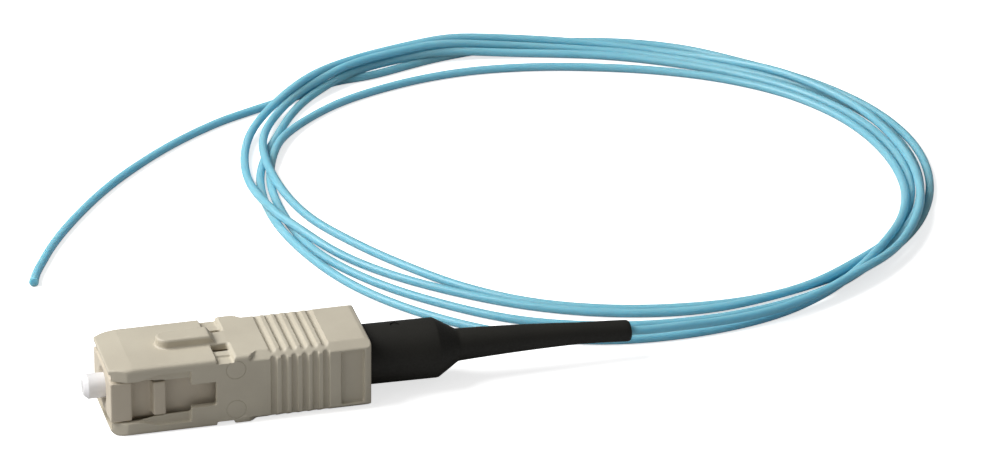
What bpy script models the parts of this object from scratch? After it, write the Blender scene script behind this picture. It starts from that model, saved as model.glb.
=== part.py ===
# Fibre optic pigtail: a push-pull plug for one fibre, with its boot, on a loosely coiled length
# of tight-buffered fibre whose far end is bare. The plug lies on its wide side, key up, with its
# ferrule to -X and its boot to +X. The fibre is wound flat on the same surface, behind the boot.

import math

import bmesh
import bpy
from mathutils import Vector

MM = 0.001

# Clearances between pieces
REST_GAP = 0.3 * MM
FIT_GAP = 0.15 * MM
SLIDE_GAP = 0.3 * MM

# Ferrule and the flange that holds it
FERRULE_R = 1.2495 * MM
FERRULE_LENGTH = 10.9 * MM
FERRULE_STANDS_OUT = 1.9 * MM
FERRULE_END_R = 0.8 * MM
FERRULE_CHAMFER = 0.45 * MM
FERRULE_TRAVEL = 1.5 * MM
FLANGE_R = 1.8 * MM
FLANGE_LENGTH = 2.2 * MM
FLANGE_NECK_R = 1.05 * MM
FLANGE_NECK_LENGTH = 3.3 * MM
FERRULE_SEAT = 1.5 * MM

# Fibre: a tight buffer over the glass
FIBRE_D = 0.9 * MM
FIBRE_HOLE_R = 0.7 * MM

# Plug frame, the fixed inner piece
FRAME_FRONT = 0.1 * MM
FRAME_LENGTH = 18.6 * MM
FRAME_SIDE_GAP = 0.55 * MM
FRAME_EDGE = 0.5 * MM
PAD_LENGTH = 1.9 * MM
PAD_INSET = 0.35 * MM
PAD_GAP = 0.25 * MM
LATCH_FROM = 4.4 * MM
LATCH_TO = 5.3 * MM
CHAMBER_R = 2.1 * MM

# Grip, the outer piece that is pushed and pulled
GRIP_LENGTH = 26.3 * MM
GRIP_W = 9.0 * MM
GRIP_H = 7.4 * MM
GRIP_WALL_SIDE = 0.7 * MM
GRIP_WALL_TOP = 0.7 * MM
GRIP_TRAVEL = 2.0 * MM
NOSE_LENGTH = 2.3 * MM
NOSE_DROP = 0.25 * MM
REAR_RISE = 0.1 * MM
SMALL_EDGE = 0.2 * MM
KEY_FROM = 5.5 * MM
KEY_W = 2.2 * MM
KEY_H = 0.95 * MM
SLOT_FROM = 10.7 * MM
SLOT_TO = 12.4 * MM
SLOT_DEPTH = 0.55 * MM
SLOT_INSET = 0.1 * MM
WINDOW_MOUTH_H = 4.5 * MM
WINDOW_WIDE_H = 5.6 * MM
WINDOW_CAM_H = 3.8 * MM
WINDOW_LENGTH = 8.1 * MM
CAM_FROM = 2.6 * MM
CAM_TO = 5.4 * MM
CAM_DEPTH = 0.35 * MM
CAM_STEPS = 6
TAIL_SLOT_TO = 10.6 * MM
TAIL_SLOT_H = 2.2 * MM
CHAMFER_FROM = 14.1 * MM
CHAMFER_RUN = 0.8 * MM
CHAMFER_SIDE = 0.85 * MM
CHAMFER_TOP = 0.65 * MM
GROOVE_COUNT = 6
GROOVE_FIRST = 16.4 * MM
GROOVE_PITCH = 1.06 * MM
GROOVE_W = 0.5 * MM
GROOVE_DEPTH = 0.3 * MM
PANEL_FROM = 23.1 * MM
PANEL_TO = 25.5 * MM
PANEL_H = 5.2 * MM
PANEL_DEPTH = 0.2 * MM

# Stop ring, clipped in the frame's rear, which the spring pushes on and the boot grips
STOP_FLANGE_R = 2.8 * MM
STOP_FLANGE_LENGTH = 1.2 * MM
STOP_INSERT_LENGTH = 3.2 * MM
STOP_NECK_R = 1.7 * MM
STOP_NECK_LENGTH = 8.0 * MM

# Spring
SPRING_WIRE_D = 0.4 * MM
SPRING_TURNS = 7
SPRING_POINTS_PER_TURN = 12

# Boot
BOOT_FROM = 22.6 * MM
BOOT_R = 3.03 * MM
BOOT_GAP = 0.2 * MM
BOOT_CONE_FROM = 33.75 * MM
BOOT_CONE_TO = 36.0 * MM
BOOT_STEM_R = 1.64 * MM
BOOT_TIP_R = 1.1 * MM
BOOT_TAPER_TO = 48.6 * MM
BOOT_TIP_ROUND = 0.5 * MM
BOOT_TIP = 54.0 * MM
BOOT_LEAN = 0.12 * MM
BOOT_DROOP = 0.68 * MM
BOOT_EDGE = 0.1 * MM
BOOT_RINGS = 8

# Coil of fibre: a ring of this many turns side by side
COIL_CENTRE = (61.1 * MM, 38.0 * MM)
COIL_INNER_R = 30.2 * MM
COIL_TURNS = 5
COIL_PITCH = 1.14 * MM
COIL_LAYER = 0.8 * MM
COIL_BULGE = 0.05 * MM
COIL_STEPS = 96
TURN_ARC_STEPS = 4

# Smoothness of round pieces
ROUND_STEPS = 32

# The plug's places along X are counted from the grip's front face, and the row's origin is under
# the middle of the plug and its boot.
MIDDLE_X = (BOOT_TIP - FERRULE_STANDS_OUT) / 2
AXIS_Z = GRIP_H / 2

scene_collection = bpy.context.scene.collection


def clear_scene():
    for obj in list(bpy.data.objects):
        bpy.data.objects.remove(obj, do_unlink=True)


def along(x):
    """A distance from the grip's front face, as the row's X."""
    return x - MIDDLE_X


def new_collection(name):
    found = bpy.data.collections.new(name)
    scene_collection.children.link(found)
    return found


def material(name, colour, roughness, metallic=0.0):
    made = bpy.data.materials.new(name)
    made.use_nodes = True
    shader = made.node_tree.nodes["Principled BSDF"]
    shader.inputs["Base Color"].default_value = (*colour, 1.0)
    shader.inputs["Roughness"].default_value = roughness
    shader.inputs["Metallic"].default_value = metallic
    return made


def put(obj, collection, finish=None):
    """Links a new object, and gives it its material."""
    collection.objects.link(obj)
    if finish:
        obj.data.materials.append(finish)
    return obj


def as_cutter(obj):
    cutters.objects.link(obj)
    obj.hide_render = True
    obj.display_type = "WIRE"
    return obj


def block(name, x, y, z):
    """A box between two places along each axis, X counted from the grip's front face."""
    mesh = bpy.data.meshes.new(name)
    shape = bmesh.new()
    bmesh.ops.create_cube(shape, size=1.0)
    size = Vector((x[1] - x[0], y[1] - y[0], z[1] - z[0]))
    centre = Vector((along((x[0] + x[1]) / 2), (y[0] + y[1]) / 2, (z[0] + z[1]) / 2))
    bmesh.ops.scale(shape, vec=size, verts=shape.verts)
    shape.to_mesh(mesh)
    shape.free()
    obj = bpy.data.objects.new(name, mesh)
    obj.location = centre
    return obj


def round_bar(name, x, radius, steps=ROUND_STEPS):
    """A cylinder on the plug's axis between two places along X."""
    mesh = bpy.data.meshes.new(name)
    shape = bmesh.new()
    bmesh.ops.create_cone(shape, cap_ends=True, segments=steps, radius1=radius, radius2=radius,
                          depth=x[1] - x[0])
    shape.to_mesh(mesh)
    shape.free()
    obj = bpy.data.objects.new(name, mesh)
    obj.location = (along((x[0] + x[1]) / 2), 0.0, AXIS_Z)
    obj.rotation_euler = (0.0, math.radians(90.0), 0.0)
    return obj


def plate(name, outline, y):
    """A side view outline of (x, z) points, as thick as the two places along Y are apart."""
    curve = bpy.data.curves.new(name, "CURVE")
    curve.dimensions = "2D"
    curve.fill_mode = "BOTH"
    curve.extrude = (y[1] - y[0]) / 2
    spline = curve.splines.new("POLY")
    spline.points.add(len(outline) - 1)
    for point, (px, pz) in zip(spline.points, outline):
        point.co = (along(px), pz, 0.0, 1.0)
    spline.use_cyclic_u = True
    return stood_up(name, curve, (0.0, (y[0] + y[1]) / 2, 0.0), (math.radians(90.0), 0.0, 0.0))


def plan_plate(name, outline, z):
    """A plan outline of (x, y) points, as thick as the two places along Z are apart."""
    curve = bpy.data.curves.new(name, "CURVE")
    curve.dimensions = "2D"
    curve.fill_mode = "BOTH"
    curve.extrude = (z[1] - z[0]) / 2
    spline = curve.splines.new("POLY")
    spline.points.add(len(outline) - 1)
    for point, (px, py) in zip(spline.points, outline):
        point.co = (along(px), py, 0.0, 1.0)
    spline.use_cyclic_u = True
    return stood_up(name, curve, (0.0, 0.0, (z[0] + z[1]) / 2), (0.0, 0.0, 0.0))


def stood_up(name, curve, location, turn):
    """Makes a flat curve a closed mesh, at its place."""
    guide = bpy.data.objects.new(name + "_outline", curve)
    scene_collection.objects.link(guide)
    guide.location = location
    guide.rotation_euler = turn
    bpy.context.view_layer.update()
    mesh = bpy.data.meshes.new_from_object(guide.evaluated_get(bpy.context.evaluated_depsgraph_get()))
    shape = bmesh.new()
    shape.from_mesh(mesh)
    bmesh.ops.remove_doubles(shape, verts=shape.verts, dist=0.001 * MM)
    bmesh.ops.recalc_face_normals(shape, faces=shape.faces)
    shape.to_mesh(mesh)
    shape.free()
    obj = bpy.data.objects.new(name, mesh)
    obj.matrix_world = guide.matrix_world.copy()
    bpy.data.objects.remove(guide)
    return obj


def turned(name, profile, steps=ROUND_STEPS, closed=False):
    """A turned piece on the plug's axis: (radius, x) points down its outer side, from +X to -X."""
    mesh = bpy.data.meshes.new(name)
    verts = [(radius, 0.0, along(x)) for radius, x in profile]
    edges = [(i, i + 1) for i in range(len(verts) - 1)]
    if closed:
        edges.append((len(verts) - 1, 0))
    mesh.from_pydata(verts, edges, [])
    obj = bpy.data.objects.new(name, mesh)
    obj.location = (0.0, 0.0, AXIS_Z)
    obj.rotation_euler = (0.0, math.radians(90.0), 0.0)
    screw(obj, steps)
    return obj


def screw(obj, steps):
    turn = obj.modifiers.new("turn", "SCREW")
    turn.axis = "Z"
    turn.steps = steps
    turn.render_steps = steps
    turn.use_merge_vertices = True
    turn.merge_threshold = 0.001 * MM
    turn.use_smooth_shade = True


def boolean(obj, operand, operation):
    step = obj.modifiers.new(operation.lower() + "_" + operand.name, "BOOLEAN")
    step.operation = operation
    step.object = operand
    step.solver = "EXACT"


def cut(obj, *operands):
    for operand in operands:
        boolean(obj, as_cutter(operand), "DIFFERENCE")


def join(obj, *operands):
    for operand in operands:
        boolean(obj, as_cutter(operand), "UNION")


def s_curve(start, end, low, high):
    """Points of a smooth step in height from low to high between two places along X."""
    found = []
    for i in range(CAM_STEPS + 1):
        share = i / CAM_STEPS
        rise = (1 - math.cos(math.pi * share)) / 2
        found.append((start + (end - start) * share, low + (high - low) * rise))
    return found


def smooth_route(knots, spacing):
    """Points an even distance apart on one smooth curve through the knots."""
    fine = []
    ends = [2 * knots[0] - knots[1]] + list(knots) + [2 * knots[-1] - knots[-2]]
    for a, b, c, d in zip(ends, ends[1:], ends[2:], ends[3:]):
        for i in range(24):
            t = i / 24
            fine.append(0.5 * ((2 * b) + (c - a) * t + (2 * a - 5 * b + 4 * c - d) * t ** 2
                               + (3 * b - a - 3 * c + d) * t ** 3))
    fine.append(knots[-1])
    length = sum((q - p).length for p, q in zip(fine, fine[1:]))
    count = max(2, round(length / spacing))
    wanted = [length * i / count for i in range(count + 1)]
    route = [fine[0]]
    gone = 0.0
    for p, q in zip(fine, fine[1:]):
        step = (q - p).length
        while len(route) < count and gone + step >= wanted[len(route)]:
            route.append(p.lerp(q, (wanted[len(route)] - gone) / step))
        gone += step
    route.append(fine[-1])
    return route


def cord(name, route, finish, diameter=FIBRE_D):
    curve = bpy.data.curves.new(name, "CURVE")
    curve.dimensions = "3D"
    curve.bevel_depth = diameter / 2
    curve.bevel_resolution = 2
    curve.use_fill_caps = True
    spline = curve.splines.new("POLY")
    spline.points.add(len(route) - 1)
    for point, place in zip(spline.points, route):
        point.co = (*place, 1.0)
    spline.use_smooth = True
    curve.materials.append(finish)
    obj = bpy.data.objects.new(name, curve)
    pigtail.objects.link(obj)
    return obj


clear_scene()
pigtail = new_collection("fibre_optic_pigtail")
cutters = new_collection("cutters")
cutters.hide_render = True

beige_plastic = material("beige_plastic", (0.60, 0.55, 0.44), 0.5)
frame_plastic = material("frame_plastic", (0.58, 0.53, 0.42), 0.5)
white_ceramic = material("white_ceramic", (0.88, 0.87, 0.86), 0.15)
nickel = material("nickel", (0.62, 0.60, 0.56), 0.3, 1.0)
spring_steel = material("spring_steel", (0.45, 0.45, 0.46), 0.3, 1.0)
black_rubber = material("black_rubber", (0.016, 0.015, 0.012), 0.6)
aqua_buffer = material("aqua_buffer", (0.11, 0.42, 0.55), 0.35)

# Where the pieces inside the plug follow each other along X
FERRULE_FROM = -FERRULE_STANDS_OUT
FERRULE_TO = FERRULE_FROM + FERRULE_LENGTH
FLANGE_FROM = FERRULE_TO + FIT_GAP - FERRULE_SEAT
FLANGE_TO = FLANGE_FROM + FLANGE_LENGTH
NECK_TO = FLANGE_TO + FLANGE_NECK_LENGTH
SHOULDER = FLANGE_FROM - REST_GAP
FRAME_TO = FRAME_FRONT + FRAME_LENGTH
STOP_FLANGE_FROM = FRAME_TO + REST_GAP
STOP_INSERT_FROM = STOP_FLANGE_FROM - STOP_INSERT_LENGTH
STOP_FLANGE_TO = STOP_FLANGE_FROM + STOP_FLANGE_LENGTH
STOP_NECK_TO = STOP_FLANGE_TO + STOP_NECK_LENGTH
CAVITY_TO = FRAME_TO + REST_GAP

# Cavity of the grip, around the frame, and the round mouth that the boot's collar runs in
CAVITY_HALF_W = GRIP_W / 2 - GRIP_WALL_SIDE
CAVITY_HALF_H = GRIP_H / 2 - GRIP_WALL_TOP
FRAME_HALF_W = CAVITY_HALF_W - FRAME_SIDE_GAP
FRAME_HALF_H = CAVITY_HALF_H - REST_GAP
PAD_HALF_W = GRIP_W / 2 - PAD_INSET
BOOT_MOUTH_R = BOOT_R + BOOT_GAP
OVER = 1.0 * MM


def make_ferrule():
    end = FERRULE_FROM
    ferrule = turned("ferrule", [
        (0.0, FERRULE_TO),
        (FERRULE_R, FERRULE_TO),
        (FERRULE_R, end + FERRULE_CHAMFER),
        (FERRULE_END_R, end),
        (0.0, end),
    ])
    put(ferrule, pigtail, white_ceramic)


def make_flange():
    """The flange is pressed on the ferrule, and its neck leads the fibre into it."""
    seat_r = FERRULE_R + FIT_GAP
    flange = turned("ferrule_flange", [
        (FLANGE_NECK_R, NECK_TO),
        (FLANGE_NECK_R, FLANGE_TO),
        (FLANGE_R, FLANGE_TO),
        (FLANGE_R, FLANGE_FROM),
        (seat_r, FLANGE_FROM),
        (seat_r, FERRULE_TO + FIT_GAP),
        (FIBRE_HOLE_R, FERRULE_TO + FIT_GAP),
        (FIBRE_HOLE_R, NECK_TO),
    ], closed=True)
    put(flange, pigtail, nickel)


def make_spring():
    """The spring bears on the flange's shoulder and on the stop ring's end."""
    start = FLANGE_TO + FIT_GAP + SPRING_WIRE_D / 2
    end = STOP_INSERT_FROM - FIT_GAP - SPRING_WIRE_D / 2
    mean_r = CHAMBER_R - FIT_GAP - SPRING_WIRE_D / 2
    count = SPRING_TURNS * SPRING_POINTS_PER_TURN
    route = []
    for i in range(count + 1):
        angle = 2 * math.pi * i / SPRING_POINTS_PER_TURN
        x = start + (end - start) * i / count
        route.append(Vector((along(x), mean_r * math.cos(angle), AXIS_Z + mean_r * math.sin(angle))))
    cord("spring", route, spring_steel, SPRING_WIRE_D)


def make_frame():
    frame = block("plug_frame", (FRAME_FRONT, FRAME_TO), (-FRAME_HALF_W, FRAME_HALF_W),
                  (AXIS_Z - FRAME_HALF_H, AXIS_Z + FRAME_HALF_H))
    put(frame, pigtail, frame_plastic)
    edges = frame.modifiers.new("edges", "BEVEL")
    edges.width = FRAME_EDGE
    edges.segments = 1
    edges.limit_method = "ANGLE"
    for name, x, window_h in (
            ("pad", (FRAME_FRONT + SMALL_EDGE, FRAME_FRONT + PAD_LENGTH), WINDOW_MOUTH_H),
            ("latch", (LATCH_FROM, LATCH_TO), WINDOW_CAM_H)):
        half_h = window_h / 2 - PAD_GAP
        join(frame, block("frame_" + name, x, (-PAD_HALF_W, PAD_HALF_W),
                          (AXIS_Z - half_h, AXIS_Z + half_h)))
    cut(frame,
        round_bar("frame_front_hole", (FRAME_FRONT - OVER, SHOULDER + OVER), FERRULE_R + SLIDE_GAP),
        round_bar("frame_chamber", (SHOULDER, FRAME_TO + OVER), CHAMBER_R))


def make_stop_ring():
    insert_r = CHAMBER_R - FIT_GAP
    stop = turned("stop_ring", [
        (STOP_NECK_R, STOP_NECK_TO),
        (STOP_NECK_R, STOP_FLANGE_TO),
        (STOP_FLANGE_R, STOP_FLANGE_TO),
        (STOP_FLANGE_R, STOP_FLANGE_FROM),
        (insert_r, STOP_FLANGE_FROM),
        (insert_r, STOP_INSERT_FROM),
        (FIBRE_HOLE_R, STOP_INSERT_FROM),
        (FIBRE_HOLE_R, STOP_NECK_TO),
    ], closed=True)
    put(stop, pigtail, nickel)


def boot_droop(x):
    """How far the boot has sagged at a place along it: a little by its cone, and most at its tip."""
    lean = min(1.0, max(0.0, (x - GRIP_LENGTH) / (BOOT_CONE_FROM - GRIP_LENGTH)))
    share = max(0.0, (x - BOOT_CONE_TO) / (BOOT_TIP - BOOT_CONE_TO))
    return BOOT_LEAN * lean + BOOT_DROOP * share ** 2.2


def make_boot():
    collar_hole_r = STOP_NECK_R + FIT_GAP
    collar_hole_to = STOP_NECK_TO + REST_GAP
    stem = [BOOT_TIP - BOOT_TIP_ROUND - (BOOT_TIP - BOOT_TIP_ROUND - BOOT_CONE_TO) * i / BOOT_RINGS
            for i in range(BOOT_RINGS + 1)]
    taper = (BOOT_STEM_R - BOOT_TIP_R) / (BOOT_TAPER_TO - BOOT_CONE_TO)
    outer = [(BOOT_TIP_R - BOOT_TIP_ROUND * 0.6, BOOT_TIP),
             (BOOT_TIP_R - BOOT_TIP_ROUND * 0.2, BOOT_TIP - BOOT_TIP_ROUND * 0.35)]
    outer += [(BOOT_TIP_R + taper * max(0.0, BOOT_TAPER_TO - x), x) for x in stem]
    outer += [(BOOT_R - BOOT_EDGE, BOOT_CONE_FROM + BOOT_EDGE), (BOOT_R, BOOT_CONE_FROM - BOOT_EDGE),
              (BOOT_R, BOOT_FROM)]
    bore = [(collar_hole_r, BOOT_FROM), (collar_hole_r, collar_hole_to)]
    bore += [(FIBRE_HOLE_R, collar_hole_to)]
    bore += [(FIBRE_HOLE_R, x) for x in reversed(stem)]
    bore += [(FIBRE_HOLE_R, BOOT_TIP)]
    straight = turned("boot_straight", outer + bore, closed=True)
    scene_collection.objects.link(straight)
    bpy.context.view_layer.update()
    mesh = bpy.data.meshes.new_from_object(
        straight.evaluated_get(bpy.context.evaluated_depsgraph_get()))
    mesh.name = "boot"
    mesh.transform(straight.matrix_world)
    bpy.data.objects.remove(straight)
    for vertex in mesh.vertices:
        vertex.co.z -= boot_droop(vertex.co.x + MIDDLE_X)
    mesh.set_sharp_from_angle(angle=math.radians(35.0))
    boot = bpy.data.objects.new("boot", mesh)
    put(boot, pigtail, black_rubber)


def window_outline(mouth_h, inner_h, end):
    """Side view of a window that is open at the front and steps smoothly to another height."""
    upper = s_curve(CAM_FROM, CAM_TO, mouth_h / 2, inner_h / 2)
    points = [(-OVER, mouth_h / 2)] + upper + [(end, inner_h / 2)]
    top = [(x, AXIS_Z + rise) for x, rise in points]
    bottom = [(x, AXIS_Z - rise) for x, rise in reversed(points)]
    return top + bottom


def make_grip():
    half_w = GRIP_W / 2
    grip = block("grip", (0.0, GRIP_LENGTH), (-half_w, half_w), (0.0, GRIP_H + REAR_RISE))
    put(grip, pigtail, beige_plastic)
    edges = grip.modifiers.new("edges", "BEVEL")
    edges.width = SMALL_EDGE
    edges.segments = 1
    edges.limit_method = "ANGLE"

    # The front half's top is a little lower, and its nose slopes down to the front.
    cut(grip, plate("grip_nose", [(-OVER, GRIP_H - NOSE_DROP * (1 + OVER / NOSE_LENGTH)),
                                  (NOSE_LENGTH, GRIP_H), (SLOT_TO, GRIP_H), (SLOT_TO, GRIP_H + OVER),
                                  (-OVER, GRIP_H + OVER)], (-half_w - OVER, half_w + OVER)))

    # The key, round at its front, with the narrow bridge behind it.
    key_half = KEY_W / 2
    nose = [(KEY_FROM + key_half * (1 - math.cos(math.radians(a))), -key_half * math.sin(math.radians(a)))
            for a in range(-90, 91, 15)]
    join(grip, plan_plate("grip_key", [(SLOT_FROM, key_half)] + nose + [(SLOT_FROM, -key_half)],
                          (GRIP_H - OVER / 2, GRIP_H + KEY_H)))

    # The long edges of the rear are chamfered, and the chamfers run out in a slope.
    for side in (-1, 1):
        for end in (0, 1):
            cut(grip, long_chamfer(side, end))

    # The cavity, and the round mouth at the rear.
    cut(grip,
        block("grip_cavity", (-OVER, CAVITY_TO), (-CAVITY_HALF_W, CAVITY_HALF_W),
              (AXIS_Z - CAVITY_HALF_H, AXIS_Z + CAVITY_HALF_H)),
        round_bar("grip_mouth", (CAVITY_TO - OVER, GRIP_LENGTH + OVER), BOOT_MOUTH_R, 48))

    # The slots beside the key, above and below.
    for name, z in (("top", (GRIP_H - SLOT_DEPTH, GRIP_H + OVER)), ("bottom", (-OVER, SLOT_DEPTH))):
        for side in (-1, 1):
            y = sorted((side * key_half, side * (half_w + OVER)))
            cut(grip, block(f"grip_slot_{name}_{'near' if side < 0 else 'far'}",
                            (SLOT_FROM, SLOT_TO), y, z))
            deep = sorted((side * key_half, side * (CAVITY_HALF_W - SLOT_INSET)))
            inner = (AXIS_Z, GRIP_H + OVER) if name == "top" else (-OVER, AXIS_Z)
            cut(grip, block(f"grip_gap_{name}_{'near' if side < 0 else 'far'}",
                            (SLOT_FROM, SLOT_TO), deep, inner))

    # The side windows: a cam outline right through, and a wider pocket in the outer face.
    cut(grip, plate("grip_window", window_outline(WINDOW_MOUTH_H, WINDOW_CAM_H, WINDOW_LENGTH),
                    (-half_w - OVER, half_w + OVER)))
    cut(grip, block("grip_tail_slot", (WINDOW_LENGTH - OVER, TAIL_SLOT_TO), (-half_w - OVER, half_w + OVER),
                    (AXIS_Z - TAIL_SLOT_H / 2, AXIS_Z + TAIL_SLOT_H / 2)))
    for side in (-1, 1):
        y = sorted((side * (half_w - CAM_DEPTH), side * (half_w + OVER)))
        cut(grip, plate(f"grip_pocket_{'near' if side < 0 else 'far'}",
                        window_outline(WINDOW_MOUTH_H, WINDOW_WIDE_H, WINDOW_LENGTH), y))
        y = sorted((side * (half_w - PANEL_DEPTH), side * (half_w + OVER)))
        cut(grip, block(f"grip_panel_{'near' if side < 0 else 'far'}", (PANEL_FROM, PANEL_TO), y,
                        (AXIS_Z - PANEL_H / 2, AXIS_Z + PANEL_H / 2)))

    # The finger grooves run right round.
    for i in range(GROOVE_COUNT):
        cut(grip, groove(i))


def long_chamfer(side, end):
    """A wedge along one long edge: side is -1 or 1 along Y, end is 0 below and 1 above."""
    base_z = GRIP_H + REAR_RISE if end else 0.0
    up = 1 if end else -1
    mesh = bpy.data.meshes.new("grip_chamfer")
    shape = bmesh.new()
    bmesh.ops.create_cube(shape, size=1.0)
    for vert in shape.verts:
        front = vert.co.x < 0
        outer = vert.co.y > 0
        high = vert.co.z > 0
        # The inner low edge of the cube becomes the chamfer plane's two edges, by a shear.
        y = GRIP_W / 2 + (OVER if outer else -CHAMFER_SIDE)
        z = OVER if high else 0.0
        if outer and not high:
            z = -CHAMFER_TOP * (OVER + CHAMFER_SIDE) / CHAMFER_SIDE
        x = GRIP_LENGTH + OVER
        if front:
            depth = (y - (GRIP_W / 2 - CHAMFER_SIDE)) / CHAMFER_SIDE
            x = CHAMFER_FROM + CHAMFER_RUN * max(0.0, 1.0 - depth)
        vert.co = (along(x), side * y, base_z + up * z)
    shape.normal_update()
    bmesh.ops.recalc_face_normals(shape, faces=shape.faces)
    bmesh.ops.triangulate(shape, faces=shape.faces)
    shape.to_mesh(mesh)
    shape.free()
    name = f"grip_chamfer_{'near' if side < 0 else 'far'}_{'top' if end else 'bottom'}"
    return bpy.data.objects.new(name, mesh)


def groove(index):
    """A square ring around the grip that cuts one groove in all four faces."""
    middle = GROOVE_FIRST + GROOVE_PITCH * index
    x = (middle - GROOVE_W / 2, middle + GROOVE_W / 2)
    ring = block(f"grip_groove_{index}", x, (-GRIP_W / 2 - OVER, GRIP_W / 2 + OVER),
                 (-OVER, GRIP_H + OVER))
    core = block(f"grip_groove_core_{index}", (x[0] - OVER, x[1] + OVER),
                 (-GRIP_W / 2 + GROOVE_DEPTH, GRIP_W / 2 - GROOVE_DEPTH),
                 (GROOVE_DEPTH, GRIP_H + REAR_RISE - GROOVE_DEPTH))
    cut(ring, core)
    return ring


def make_coil():
    """The coil's outer shape: turns side by side, in two layers, as one ring."""
    width = COIL_TURNS * COIL_PITCH
    top = FIBRE_D + COIL_LAYER
    over = []
    for turn in range(COIL_TURNS):
        for i in range(TURN_ARC_STEPS):
            angle = math.pi * (i + 0.5) / TURN_ARC_STEPS
            radius = COIL_INNER_R + COIL_PITCH * (turn + 0.5 + 0.5 * math.cos(math.pi - angle))
            over.append((radius, top - FIBRE_D / 2 + FIBRE_D / 2 * math.sin(angle)))
    under = [(COIL_INNER_R + width - COIL_BULGE, FIBRE_D / 2), (COIL_INNER_R + width - FIBRE_D / 2, 0.0),
             (COIL_INNER_R + FIBRE_D / 2, 0.0), (COIL_INNER_R + COIL_BULGE, FIBRE_D / 2)]
    mesh = bpy.data.meshes.new("fibre_coil")
    profile = over + under
    mesh.from_pydata([(r, 0.0, z) for r, z in profile],
                     [(i, (i + 1) % len(profile)) for i in range(len(profile))], [])
    coil = bpy.data.objects.new("fibre_coil", mesh)
    coil.location = (along(COIL_CENTRE[0]), COIL_CENTRE[1], 0.0)
    screw(coil, COIL_STEPS)
    put(coil, pigtail, aqua_buffer)


# Routes of the fibre where it isn't coiled: (x from the grip's front face, y, z) in millimetres
LEAD_ROUTE = (
    (51.8, 0.0, 3.05),
    (54.2, 0.0, 2.85),
    (56.4, 0.1, 2.68),
    (58.6, 0.45, 2.52),
    (60.8, 1.15, 2.44),
    (62.8, 2.0, 2.42),
)
TAIL_ROUTE = (
    (39.7, 67.9, 0.45),
    (37.4, 66.7, 0.45),
    (35.0, 65.45, 0.45),
    (32.1, 64.2, 0.45),
    (29.2, 62.95, 0.45),
    (25.3, 61.1, 0.45),
    (19.4, 57.1, 0.45),
    (13.2, 51.5, 0.45),
    (8.8, 46.5, 0.45),
    (4.5, 40.5, 0.45),
    (2.1, 36.5, 0.45),
    (0.7, 33.7, 0.45),
    (-0.6, 30.9, 0.45),
    (-1.2, 29.0, 0.45),
)


def route_points(route):
    return [Vector((along(x * MM), y * MM, z * MM)) for x, y, z in route]


def make_fibre_ends():
    for name, route in (("fibre_lead", LEAD_ROUTE), ("fibre_tail", TAIL_ROUTE)):
        cord(name, smooth_route(route_points(route), 2.2 * FIBRE_D), aqua_buffer)


make_ferrule()
make_flange()
make_spring()
make_frame()
make_stop_ring()
make_boot()
make_grip()
make_coil()
make_fibre_ends()
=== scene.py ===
import math

import bmesh
import bpy
import numpy as np
from mathutils import Matrix, Vector


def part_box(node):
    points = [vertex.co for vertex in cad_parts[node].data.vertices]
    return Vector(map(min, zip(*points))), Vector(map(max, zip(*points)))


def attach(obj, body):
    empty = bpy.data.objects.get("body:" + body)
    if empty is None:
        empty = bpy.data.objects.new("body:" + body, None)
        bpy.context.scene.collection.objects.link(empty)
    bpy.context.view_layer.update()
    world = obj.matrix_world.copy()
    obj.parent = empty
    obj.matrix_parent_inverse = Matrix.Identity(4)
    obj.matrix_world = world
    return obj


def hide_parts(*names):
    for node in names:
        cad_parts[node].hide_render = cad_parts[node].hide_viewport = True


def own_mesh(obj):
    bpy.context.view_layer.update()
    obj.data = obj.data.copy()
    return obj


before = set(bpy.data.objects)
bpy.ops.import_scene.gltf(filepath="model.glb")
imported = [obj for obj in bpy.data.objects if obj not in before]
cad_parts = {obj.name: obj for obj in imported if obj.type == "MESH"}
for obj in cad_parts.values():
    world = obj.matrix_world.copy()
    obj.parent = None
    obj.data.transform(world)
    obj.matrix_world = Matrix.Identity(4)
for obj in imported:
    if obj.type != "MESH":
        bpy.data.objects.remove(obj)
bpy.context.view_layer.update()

scene = bpy.context.scene
MM = 0.001

# The camera stands where the photograph was taken from: in front of the plug and a little to its
# left, looking down over it at the coil.
CAMERA_AZIMUTH = math.radians(-15.008)
CAMERA_ELEVATION = math.radians(27.011)
CAMERA_ROLL = math.radians(0.565)
CAMERA_DISTANCE = 650 * MM
CAMERA_TARGET = Vector((22.54, 30.57, 0.0)) * MM
CAMERA_LENS = 223.87
CAMERA_SENSOR = 36.0


def make_camera():
    data = bpy.data.cameras.new("camera")
    data.lens = CAMERA_LENS
    data.sensor_width = CAMERA_SENSOR
    data.clip_start = 10 * MM
    camera = bpy.data.objects.new("camera", data)
    scene.collection.objects.link(camera)
    level = math.cos(CAMERA_ELEVATION)
    ahead = Vector((-math.sin(CAMERA_AZIMUTH) * level, math.cos(CAMERA_AZIMUTH) * level,
                    -math.sin(CAMERA_ELEVATION)))
    right = Vector((math.cos(CAMERA_AZIMUTH), math.sin(CAMERA_AZIMUTH), 0.0))
    up = right.cross(ahead)
    rolled_right = right * math.cos(CAMERA_ROLL) + up * math.sin(CAMERA_ROLL)
    rolled_up = up * math.cos(CAMERA_ROLL) - right * math.sin(CAMERA_ROLL)
    turn = Matrix((rolled_right, rolled_up, -ahead)).transposed()
    camera.matrix_world = Matrix.Translation(CAMERA_TARGET - ahead * CAMERA_DISTANCE) @ turn.to_4x4()
    scene.camera = camera


make_camera()

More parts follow.
